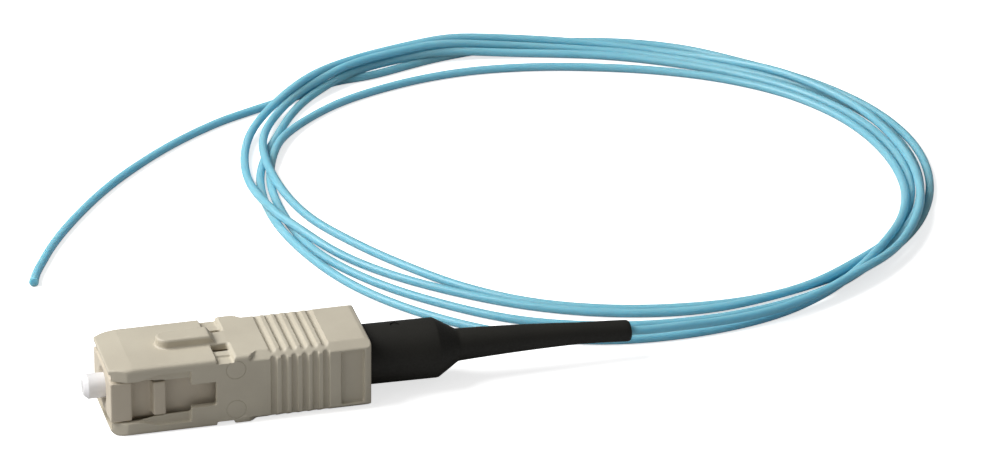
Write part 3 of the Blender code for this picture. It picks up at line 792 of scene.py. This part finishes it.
# The stop ring: turned and nickel plated like the flange. Its insert snaps into the plug frame's
# rear and backs the spring, and its ribbed neck holds the boot.
STOP_INSERT_R = 1.95
STOP_INSERT_FROM = 15.8
STOP_FLANGE_R = 2.8
STOP_FLANGE_FROM = 19.0
STOP_FLANGE_TO = 20.2
STOP_NECK_R = 1.7
STOP_NECK_TO = 28.2
STOP_HOLE_R = 0.7
BARB_COUNT = 5
BARB_FROM = 23.2
BARB_PITCH = 0.9
BARB_DEPTH = 0.12
BARB_TOP = 0.1
BARB_STEP = 0.05


def make_stop_ring():
    outline = [(STOP_NECK_TO, STOP_HOLE_R)]
    outline += eased((STOP_NECK_TO, STOP_HOLE_R), (STOP_NECK_TO, STOP_NECK_R), (STOP_FLANGE_TO, STOP_NECK_R),
                     FLANGE_EDGE, 3)
    for i in reversed(range(BARB_COUNT)):
        start = BARB_FROM + BARB_PITCH * i
        outline += [(start + BARB_PITCH * 0.9, STOP_NECK_R - BARB_DEPTH), (start + BARB_TOP, STOP_NECK_R),
                    (start, STOP_NECK_R), (start - BARB_STEP, STOP_NECK_R - BARB_DEPTH)]
    before = BARB_FROM - BARB_PITCH
    outline += [(before, STOP_NECK_R - BARB_DEPTH), (before - BARB_TOP, STOP_NECK_R),
                (STOP_FLANGE_TO, STOP_NECK_R)]
    outline += eased((STOP_FLANGE_TO, STOP_NECK_R), (STOP_FLANGE_TO, STOP_FLANGE_R),
                     (STOP_FLANGE_FROM, STOP_FLANGE_R), FLANGE_EDGE, 3)
    outline += eased((STOP_FLANGE_TO, STOP_FLANGE_R), (STOP_FLANGE_FROM, STOP_FLANGE_R),
                     (STOP_FLANGE_FROM, STOP_INSERT_R), FLANGE_EDGE, 3)
    outline += [(STOP_FLANGE_FROM, STOP_INSERT_R)]
    outline += eased((STOP_FLANGE_FROM, STOP_INSERT_R), (STOP_INSERT_FROM, STOP_INSERT_R),
                     (STOP_INSERT_FROM, STOP_HOLE_R), FLANGE_EDGE, 3)
    outline += [(STOP_INSERT_FROM, STOP_HOLE_R)]
    ring = turned("nickel_stop_ring", outline, nickel, hollow=True)
    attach(ring, "plug")
    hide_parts("stop_ring")


make_stop_ring()

# The boot: one moulding of matt black rubber, pushed on the stop ring's neck. A thick barrel that runs
# in the grip's rear, a cone, and a long taper that droops a little and keeps the fibre from kinking.
BOOT_FROM = 22.6
BOOT_R = 3.03
BOOT_CONE_FROM = 33.75
BOOT_CONE_TO = 36.0
BOOT_STEM_R = 1.64
BOOT_TAPER_TO = 48.6
BOOT_TIP_R = 1.1
BOOT_TIP = 54.0
BOOT_TIP_ROUND = 0.45
BOOT_EDGE = 0.16
BOOT_LEAN = 0.12
BOOT_DROOP = 0.68
BOOT_BEND = 2.2
BOOT_RINGS = 44
BARREL_RINGS = 10
RING_INSET = 0.3
COLLAR_HOLE_R = 1.85
COLLAR_HOLE_TO = 28.5
GRIP_LENGTH = (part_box("grip")[1].x - PLUG_FRONT) / MM
PIP_X = 29.65
PIP_R = 0.5
PIP_H = 0.13
PIP_TAPER = 0.85
PIP_SIDES = 32
RUBBER_LOW = (0.0115, 0.0108, 0.0085)
RUBBER_HIGH = (0.016, 0.015, 0.0115)


def boot_droop(x):
    """How far the boot has sagged at a place along it: a little by its cone, and most at its tip."""
    lean = min(1.0, max(0.0, (x - GRIP_LENGTH) / (BOOT_CONE_FROM - GRIP_LENGTH)))
    share = max(0.0, (x - BOOT_CONE_TO) / (BOOT_TIP - BOOT_CONE_TO))
    return BOOT_LEAN * lean + BOOT_DROOP * share ** BOOT_BEND


def make_boot():
    stem = list(np.linspace(BOOT_TIP - BOOT_TIP_ROUND, BOOT_CONE_TO + RING_INSET, BOOT_RINGS))
    slope = (BOOT_STEM_R - BOOT_TIP_R) / (BOOT_TAPER_TO - BOOT_CONE_TO)
    hole_r = FLANGE_HOLE_R
    outer = [(BOOT_TIP, hole_r)]
    outer += eased((BOOT_TIP, hole_r), (BOOT_TIP, BOOT_TIP_R), (BOOT_TIP - 1, BOOT_TIP_R), BOOT_TIP_ROUND,
                   7)[:-1]
    outer += [(x, BOOT_TIP_R + slope * max(0.0, BOOT_TAPER_TO - x)) for x in stem]
    outer += eased(outer[-1], (BOOT_CONE_TO, BOOT_STEM_R), (BOOT_CONE_FROM, BOOT_R), BOOT_EDGE, 4)
    outer += eased((BOOT_CONE_TO, BOOT_STEM_R), (BOOT_CONE_FROM, BOOT_R), (BOOT_FROM, BOOT_R), BOOT_EDGE, 5)
    outer += [(x, BOOT_R) for x in np.linspace(BOOT_CONE_FROM - 1, BOOT_FROM + RING_INSET, BARREL_RINGS)]
    outer += eased((BOOT_CONE_FROM, BOOT_R), (BOOT_FROM, BOOT_R), (BOOT_FROM, COLLAR_HOLE_R), BOOT_EDGE, 4)
    bore = [(BOOT_FROM, COLLAR_HOLE_R), (COLLAR_HOLE_TO, COLLAR_HOLE_R), (COLLAR_HOLE_TO, hole_r)]
    bore += [(x, hole_r) for x in reversed(stem)]
    boot = turned("rubber_boot", outer + bore, hollow=True)
    pip = bmesh.new()
    bmesh.ops.create_cone(pip, cap_ends=True, segments=PIP_SIDES, radius1=PIP_R * MM,
                          radius2=PIP_R * PIP_TAPER * MM, depth=2 * PIP_H * MM)
    bmesh.ops.translate(pip, verts=pip.verts, vec=(along(PIP_X), 0.0, (AXIS_Z + BOOT_R) * MM))
    join(boot, placed("pip", pip))
    for vertex in boot.data.vertices:
        vertex.co.z -= boot_droop((vertex.co.x - PLUG_FRONT) / MM) * MM
    skin = bmesh.new()
    skin.from_mesh(boot.data)
    faced_out(skin)
    skin.to_mesh(boot.data)
    skin.free()
    smooth_shaded(boot)
    finish = moulded_plastic("black_rubber", RUBBER_LOW, RUBBER_HIGH, 0.52, 0.70, 0.012, 4200.0)
    finish.node_tree.nodes["Principled BSDF"].inputs["Specular IOR Level"].default_value = 0.35
    coated(boot, finish)
    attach(boot, "plug")
    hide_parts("boot")


make_boot()

# The grip: the outer housing, moulded in satin beige thermoplastic. It snaps over the plug frame and
# slides on it; the key sets the plug's angle in an adapter, and the ribs are there to pull it out by.
GRIP_W = 2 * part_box("grip")[1].y / MM
GRIP_H = 7.4
GRIP_WALL = 0.7
REAR_RISE = 0.1
FRONT_FOOT_R = 1.0
NOSE_LENGTH = 2.3
NOSE_DROP = 0.25
LONG_EDGE = 0.42
EDGE_STEPS = 4
FRONT_CORNER_X = 1.7
FRONT_CORNER_Y = 0.8
KEY_FROM = 5.5
KEY_W = 2.2
KEY_H = 0.95
KEY_EDGE = 0.22
KEY_EDGE_STEPS = 3
KEY_FALL = 0.7
BRIDGE_HALF_W = 1.25
SLOT_FROM = 10.7
SLOT_TO = 12.4
SLOT_HOLE_TO = 2.2
SLOT_STEP_TO = 3.15
SLOT_STEP_DEPTH = 0.28
SLOT_DEPTH = 0.5
SLOT_LIP = 0.24
LIP_BEFORE = 0.05
LIP_PAST = 0.3
OVERLAP = 0.02
WINDOW_MOUTH_H = 4.5
WINDOW_WIDE_H = 5.6
WINDOW_CAM_H = 3.8
WINDOW_LENGTH = 8.1
CAM_FROM = 2.6
CAM_TO = 5.4
CAM_DEPTH = 0.5
CAM_STEPS = 14
TAIL_SLOT_TO = 10.6
TAIL_SLOT_H = 2.6
CHAMFER_FROM = 13.9
CHAMFER_RUN = 0.9
CHAMFER_SIDE = 0.95
CHAMFER_TOP = 0.65
GROOVE_COUNT = 6
GROOVE_FIRST = 16.4
GROOVE_PITCH = 1.06
GROOVE_W = 0.62
GROOVE_DEPTH = 0.3
GROOVE_SHOULDER = 0.12
PANEL_FROM = 23.2
PANEL_TO = 25.55
PANEL_LOW = 0.85
PANEL_HIGH = 6.7
PANEL_DEPTH = 0.42
REAR_RIM = 0.55
REAR_RIM_DEPTH = 0.16
MOUTH_R = 3.23
MOUTH_EASE = 0.2
MOUTH_EDGE = 0.25
CAVITY_TO = 19.0
PIN_MARK_X = 12.6
PIN_MARK_R = 0.98
PIN_MARK_HEIGHTS = (6.06, 1.7)
PIN_MARK_W = 0.15
PIN_MARK_DEPTH = 0.07
PIN_MARK_FLARE = 3
PIN_MARK_SIDES = 40
BEIGE_LOW = (0.545, 0.495, 0.395)
BEIGE_HIGH = (0.60, 0.55, 0.44)
OVER = 1.0


def s_curve(low, high):
    """The window's edge from its front, through a smooth step in its half height, to its end."""
    found = [(-OVER, low)]
    for i in range(CAM_STEPS + 1):
        share = i / CAM_STEPS
        found.append((CAM_FROM + (CAM_TO - CAM_FROM) * share,
                      low + (high - low) * (1 - math.cos(math.pi * share)) / 2))
    return found + [(WINDOW_LENGTH, high)]


def window_outline(mouth_h, inner_h):
    """The side view of a window, from its height at the mouth to its height behind the step."""
    edge = s_curve(mouth_h / 2, inner_h / 2)
    return [(x, AXIS_Z + rise) for x, rise in edge] + [(x, AXIS_Z - rise) for x, rise in reversed(edge)]


def grip_body():
    """The housing's outer form: its side view, with each edge rounded as wide as the mould has it."""
    half_w = GRIP_W / 2
    top = GRIP_H + REAR_RISE
    foot = [(FRONT_FOOT_R * (1 - math.cos(a)), FRONT_FOOT_R * (1 - math.sin(a)))
            for a in np.radians(np.arange(0, 91, 15))]
    outline = foot + [(GRIP_LENGTH, 0.0), (GRIP_LENGTH, top), (SLOT_TO, top), (SLOT_FROM, GRIP_H),
                      (NOSE_LENGTH, GRIP_H), (0.0, GRIP_H - NOSE_DROP)]
    body = prism("moulded_grip", outline, (-half_w, half_w))
    weights = body.data.attributes.new("bevel_weight_edge", "FLOAT", "EDGE")
    for edge in body.data.edges:
        a, b = (body.data.vertices[i].co for i in edge.vertices)
        across = abs(b.y - a.y) > half_w * MM
        rear = min(a.x, b.x) > along(GRIP_LENGTH - OVER)
        weights.data[edge.index].value = float(not across or rear)
    edges = body.modifiers.new("edges", "BEVEL")
    edges.width = LONG_EDGE * MM
    edges.segments = EDGE_STEPS
    edges.limit_method = "WEIGHT"
    edges.use_clamp_overlap = False
    made_plain(body)
    return body


def front_corner(side):
    """A wedge that chamfers one upright front corner."""
    slope = FRONT_CORNER_Y / FRONT_CORNER_X
    half_w = GRIP_W / 2
    return prism("front_corner", [(-OVER, side * (half_w - FRONT_CORNER_Y - slope * OVER)),
                                  (FRONT_CORNER_X + OVER, side * (half_w + slope * OVER)),
                                  (-OVER, side * (half_w + 2 * OVER))], (-OVER, GRIP_H + OVER), plan=True)


def grip_key():
    """The key: round at its front, with its upper edge eased, and sloping down to the bridge behind."""
    half = KEY_W / 2
    nose = [(KEY_FROM + half * (1 - math.cos(a)), -half * math.sin(a))
            for a in np.radians(np.arange(-90, 91, 10))]
    back = SLOT_FROM + KEY_FALL
    key = prism("key", [(back, half)] + nose + [(back, -half)],
                (GRIP_H - OVER / 2, GRIP_H + KEY_H), plan=True)
    shape = bmesh.new()
    shape.from_mesh(key.data)
    upper = [edge for edge in shape.edges if min(v.co.z for v in edge.verts) > (GRIP_H + KEY_H / 2) * MM]
    bmesh.ops.bevel(shape, geom=upper, offset=KEY_EDGE * MM, segments=KEY_EDGE_STEPS, affect="EDGES",
                    profile=0.5)
    shape.to_mesh(key.data)
    shape.free()
    fall = [(SLOT_FROM - KEY_FALL, GRIP_H + 2 * KEY_H), (back, GRIP_H), (back + OVER, GRIP_H),
            (back + OVER, GRIP_H + 2 * KEY_H)]
    cut(key, prism("fall", fall, (-GRIP_W, GRIP_W)))
    return key


def long_chamfer(side, end):
    """A wedge along one long edge of the rear: side is -1 or 1 along Y, end is 0 below and 1 above."""
    base_z = GRIP_H + REAR_RISE if end else 0.0
    up = 1 if end else -1
    shape = bmesh.new()
    bmesh.ops.create_cube(shape, size=1.0)
    for vert in shape.verts:
        front, outer, high = vert.co.x < 0, vert.co.y > 0, vert.co.z > 0
        y = GRIP_W / 2 + (OVER if outer else -CHAMFER_SIDE)
        z = OVER if high else 0.0
        if outer and not high:
            z = -CHAMFER_TOP * (OVER + CHAMFER_SIDE) / CHAMFER_SIDE
        x = GRIP_LENGTH + OVER
        if front:
            x = CHAMFER_FROM + CHAMFER_RUN * (GRIP_W / 2 - y) / CHAMFER_SIDE
        vert.co = (along(x), side * y * MM, (base_z + up * z) * MM)
    shape.normal_update()
    bmesh.ops.triangulate(shape, faces=shape.faces)
    faced_out(shape)
    return placed("chamfer", shape)


def ringed(name, rings):
    """A ring-shaped solid through rings of as many places each, the last of them joined to the first."""
    shape = bmesh.new()
    loops = [[shape.verts.new(place) for place in ring] for ring in rings]
    for a, b in zip(loops, loops[1:] + loops[:1]):
        for i in range(len(a)):
            j = (i + 1) % len(a)
            shape.faces.new((a[i], a[j], b[j], b[i]))
    faced_out(shape)
    return placed(name, shape)


def ring_round(name, section):
    """A ring that cuts into all four faces, from the (x, depth) points of its section."""
    high, half_w = GRIP_H + REAR_RISE, GRIP_W / 2
    rings = []
    for x, depth in section:
        corners = ((-half_w + depth, depth), (half_w - depth, depth), (half_w - depth, high - depth),
                   (-half_w + depth, high - depth))
        rings.append([(along(x), y * MM, z * MM) for y, z in corners])
    return ringed(name, rings)


def groove(index):
    """One finger groove, round at its bottom."""
    middle = GROOVE_FIRST + GROOVE_PITCH * index
    half = GROOVE_W / 2
    section = [(middle - half, -OVER), (middle - half, OVERLAP)]
    section += [(middle - half * math.cos(a),
                 GROOVE_DEPTH * (GROOVE_SHOULDER + (1 - GROOVE_SHOULDER) * math.sin(a)))
                for a in np.radians(np.arange(10, 171, 20))]
    return ring_round("groove", section + [(middle + half, OVERLAP), (middle + half, -OVER)])


def rear_rim():
    """The slight taper of the housing's last stretch."""
    slope = REAR_RIM_DEPTH / REAR_RIM
    return ring_round("rear_rim", [(GRIP_LENGTH - REAR_RIM - OVER, -OVER * slope),
                                   (GRIP_LENGTH + OVER, REAR_RIM_DEPTH + OVER * slope),
                                   (GRIP_LENGTH + OVER, -OVER)])


def pin_mark(side, height):
    """The shallow V-shaped ring that an ejector pin leaves in a side face. Its cutter goes on outwards
    as a wider V, so that it crosses the face cleanly."""
    wide = PIN_MARK_W / 2 * PIN_MARK_FLARE
    out = PIN_MARK_DEPTH * (PIN_MARK_FLARE - 1)
    rings = []
    for radius, depth in ((PIN_MARK_R - wide, out), (PIN_MARK_R, -PIN_MARK_DEPTH), (PIN_MARK_R + wide, out)):
        rings.append([(along(PIN_MARK_X + radius * math.cos(angle)), side * (GRIP_W / 2 + depth) * MM,
                       (height + radius * math.sin(angle)) * MM)
                      for angle in (2 * math.pi * i / PIN_MARK_SIDES for i in range(PIN_MARK_SIDES))])
    return ringed("pin_mark", rings)


def slots():
    """The cutters for the slots beside the bridge, above and below: a hole next to it, a step, a notch
    in the side, and a chamfer on the edge behind."""
    found = []
    for side in (-1, 1):
        for base_z, up, top in ((0.0, -1, 0.0), (GRIP_H, 1, REAR_RISE)):
            for first, last, depth in ((BRIDGE_HALF_W, SLOT_HOLE_TO, GRIP_H / 2),
                                       (BRIDGE_HALF_W, SLOT_STEP_TO, SLOT_STEP_DEPTH),
                                       (SLOT_STEP_TO - OVERLAP, GRIP_W / 2 + OVER, SLOT_DEPTH)):
                found.append(block("slot", (SLOT_FROM, SLOT_TO), sorted((side * first, side * last)),
                                   sorted((base_z - up * depth, base_z + up * OVER))))
            lip = [(SLOT_TO - LIP_BEFORE, base_z + up * (top - SLOT_LIP - LIP_BEFORE)),
                   (SLOT_TO + SLOT_LIP + LIP_PAST, base_z + up * (top + LIP_PAST)),
                   (SLOT_TO - LIP_BEFORE, base_z + up * (top + LIP_PAST))]
            found.append(prism("lip", lip, sorted((side * BRIDGE_HALF_W, side * (GRIP_W / 2 + OVER)))))
    return found


def make_grip():
    half_w = GRIP_W / 2
    inner_w = half_w - GRIP_WALL
    inner_h = GRIP_H / 2 - GRIP_WALL
    grip = grip_body()
    join(grip, grip_key())
    cut(grip, front_corner(-1), front_corner(1))
    cut(grip, *[long_chamfer(side, end) for side in (-1, 1) for end in (0, 1)])
    cut(grip, rear_rim(), *[groove(i) for i in range(GROOVE_COUNT)])
    cut(grip,
        block("cavity", (-OVER, CAVITY_TO), (-inner_w, inner_w), (AXIS_Z - inner_h, AXIS_Z + inner_h)),
        round_bar("mouth", (CAVITY_TO - OVER, GRIP_LENGTH + OVER), MOUTH_R),
        round_bar("mouth_edge", (GRIP_LENGTH - MOUTH_EDGE, GRIP_LENGTH + MOUTH_EDGE),
                  MOUTH_R + MOUTH_EASE - MOUTH_EDGE, MOUTH_R + MOUTH_EASE + MOUTH_EDGE))
    cut(grip, *slots())
    through = (-half_w - OVER, half_w + OVER)
    windows = [prism("window", window_outline(WINDOW_MOUTH_H, WINDOW_CAM_H), through),
               block("tail_slot", (WINDOW_LENGTH - OVER, TAIL_SLOT_TO), through,
                     (AXIS_Z - TAIL_SLOT_H / 2, AXIS_Z + TAIL_SLOT_H / 2))]
    for side in (-1, 1):
        y = sorted((side * (half_w - CAM_DEPTH), side * (half_w + OVER)))
        windows.append(prism("pocket", window_outline(WINDOW_MOUTH_H, WINDOW_WIDE_H), y))
        y = sorted((side * (half_w - PANEL_DEPTH), side * (half_w + OVER)))
        windows.append(block("panel", (PANEL_FROM, PANEL_TO), y, (PANEL_LOW, PANEL_HIGH)))
    cut(grip, *windows)
    moulded(grip)
    cut(grip, *[pin_mark(side, height) for side in (-1, 1) for height in PIN_MARK_HEIGHTS])
    shaded(grip)
    coated(grip, moulded_plastic("beige_plastic", BEIGE_LOW, BEIGE_HIGH, 0.40, 0.56, 0.008))
    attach(grip, "grip")
    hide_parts("grip")


make_grip()

# The floor and the studio: a wide pale table top, one large soft light high on the left, a weak one
# lower on the left in front, and an even white surround. The camera sees the floor as white as the
# photograph's ground, while the floor throws back only as much light as keeps the sides in shade.
FLOOR_SIZE = 4.0
FLOOR_PALE = 0.93
FLOOR_BOUNCE = 0.50
FLOOR_GLOW = 0.70
SURROUND = 0.18
KEY_PLACE = (-0.45, 0.12, 0.52)
KEY_SIZE = 0.50
KEY_POWER = 5.9
FILL_PLACE = (-0.50, -0.28, 0.30)
FILL_SIZE = 0.40
FILL_POWER = 0.40


def make_floor():
    shape = bmesh.new()
    bmesh.ops.create_grid(shape, x_segments=1, y_segments=1, size=FLOOR_SIZE / 2)
    floor = placed("floor", shape)
    pale, tree, shader = new_material("pale_floor")
    nodes, links = tree.nodes, tree.links
    seen = nodes.new("ShaderNodeLightPath")
    tone = nodes.new("ShaderNodeMix")
    tone.data_type = "RGBA"
    tone.inputs[6].default_value = (*[FLOOR_BOUNCE] * 3, 1.0)
    tone.inputs[7].default_value = (*[FLOOR_PALE] * 3, 1.0)
    glow = nodes.new("ShaderNodeMath")
    glow.operation = "MULTIPLY"
    glow.inputs[1].default_value = FLOOR_GLOW
    links.new(seen.outputs["Is Camera Ray"], tone.inputs[0])
    links.new(tone.outputs[2], shader.inputs["Base Color"])
    links.new(seen.outputs["Is Camera Ray"], glow.inputs[0])
    links.new(glow.outputs["Value"], shader.inputs["Emission Strength"])
    shader.inputs["Emission Color"].default_value = (1.0, 1.0, 1.0, 1.0)
    shader.inputs["Roughness"].default_value = 0.9
    shader.inputs["Specular IOR Level"].default_value = 0.1
    coated(floor, pale)


def soft_light(name, place, size, power):
    data = bpy.data.lights.new(name, "AREA")
    data.shape = "DISK"
    data.size = size
    data.energy = power
    light = linked(name, data)
    light.location = place
    aim = CAMERA_TARGET - Vector(place)
    light.rotation_euler = aim.to_track_quat("-Z", "Y").to_euler()


def make_studio():
    world = bpy.data.worlds.new("studio")
    world.use_nodes = True
    world.node_tree.nodes["Background"].inputs["Color"].default_value = (1.0, 1.0, 1.0, 1.0)
    world.node_tree.nodes["Background"].inputs["Strength"].default_value = SURROUND
    scene.world = world
    soft_light("key", KEY_PLACE, KEY_SIZE, KEY_POWER)
    soft_light("fill", FILL_PLACE, FILL_SIZE, FILL_POWER)
    scene.view_settings.view_transform = "Standard"


make_floor()
make_studio()
